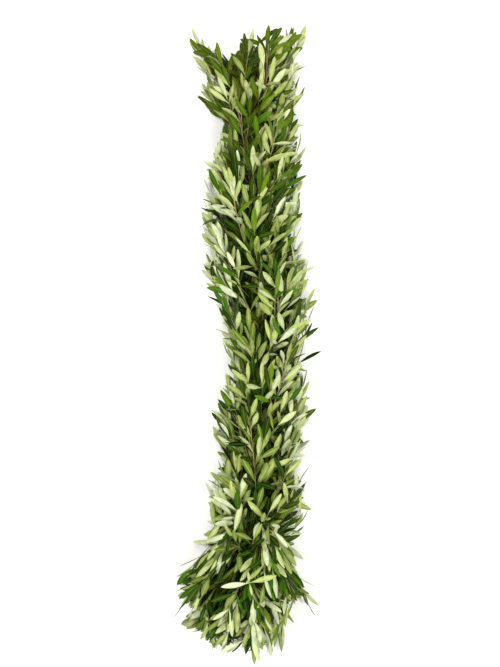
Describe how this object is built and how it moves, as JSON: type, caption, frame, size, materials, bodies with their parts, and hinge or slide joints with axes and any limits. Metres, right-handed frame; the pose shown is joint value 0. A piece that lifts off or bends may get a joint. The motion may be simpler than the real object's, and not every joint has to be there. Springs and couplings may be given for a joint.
{
  "type": "olive branch garland",
  "caption": "Straight garland of leafy olive sprays bound with thin wire along a jute rope, dense and narrow, with sprays fanned out at its foot.",
  "frame": {"origin": "on the table plane, under the middle of the garland's bounding box", "axes": "+Z up from the table, +Y along the garland to the end its leaves point to, +X to the right when it is seen from above with +Y upward"},
  "size_m": [0.426, 1.8344, 0.1956],
  "materials": {
    "olive_leaf_pale": "matte",
    "olive_leaf_green": "satin",
    "olive_leaf_deep": "satin",
    "jute": "matte",
    "green_wire": "satin"
  },
  "bodies": {
    "root": {"core_rope": "jute", "binding_wire": "green_wire", "spray_01": "olive_leaf_green", "spray_02": "olive_leaf_deep", "spray_03": "olive_leaf_pale", "spray_04": "olive_leaf_green", "spray_05": "olive_leaf_deep", "spray_06": "olive_leaf_pale", "spray_07": "olive_leaf_green", "spray_08": "olive_leaf_deep", "spray_09": "olive_leaf_pale", "spray_10": "olive_leaf_green", "spray_11": "olive_leaf_deep", "spray_12": "olive_leaf_pale", "spray_13": "olive_leaf_green", "spray_14": "olive_leaf_deep", "spray_15": "olive_leaf_pale", "spray_16": "olive_leaf_green", "spray_17": "olive_leaf_deep", "spray_18": "olive_leaf_pale", "spray_19": "olive_leaf_green", "spray_20": "olive_leaf_deep", "spray_21": "olive_leaf_pale", "spray_22": "olive_leaf_green", "spray_23": "olive_leaf_deep", "spray_24": "olive_leaf_pale", "spray_25": "olive_leaf_green", "spray_26": "olive_leaf_deep", "spray_27": "olive_leaf_pale", "spray_28": "olive_leaf_green", "spray_29": "olive_leaf_deep", "spray_30": "olive_leaf_pale", "spray_31": "olive_leaf_green", "spray_32": "olive_leaf_deep", "spray_33": "olive_leaf_pale", "spray_34": "olive_leaf_green", "spray_35": "olive_leaf_deep", "spray_36": "olive_leaf_pale", "spray_37": "olive_leaf_green", "spray_38": "olive_leaf_deep", "spray_39": "olive_leaf_pale", "spray_40": "olive_leaf_green", "spray_41": "olive_leaf_deep", "spray_42": "olive_leaf_pale", "spray_43": "olive_leaf_green", "spray_44": "olive_leaf_deep", "spray_45": "olive_leaf_pale", "spray_46": "olive_leaf_green", "spray_47": "olive_leaf_deep", "spray_48": "olive_leaf_pale", "spray_49": "olive_leaf_green", "spray_50": "olive_leaf_deep", "spray_51": "olive_leaf_pale", "spray_52": "olive_leaf_green", "spray_53": "olive_leaf_deep", "spray_54": "olive_leaf_pale", "spray_55": "olive_leaf_green", "spray_56": "olive_leaf_deep", "spray_57": "olive_leaf_pale"}
  },
  "joints": []
}
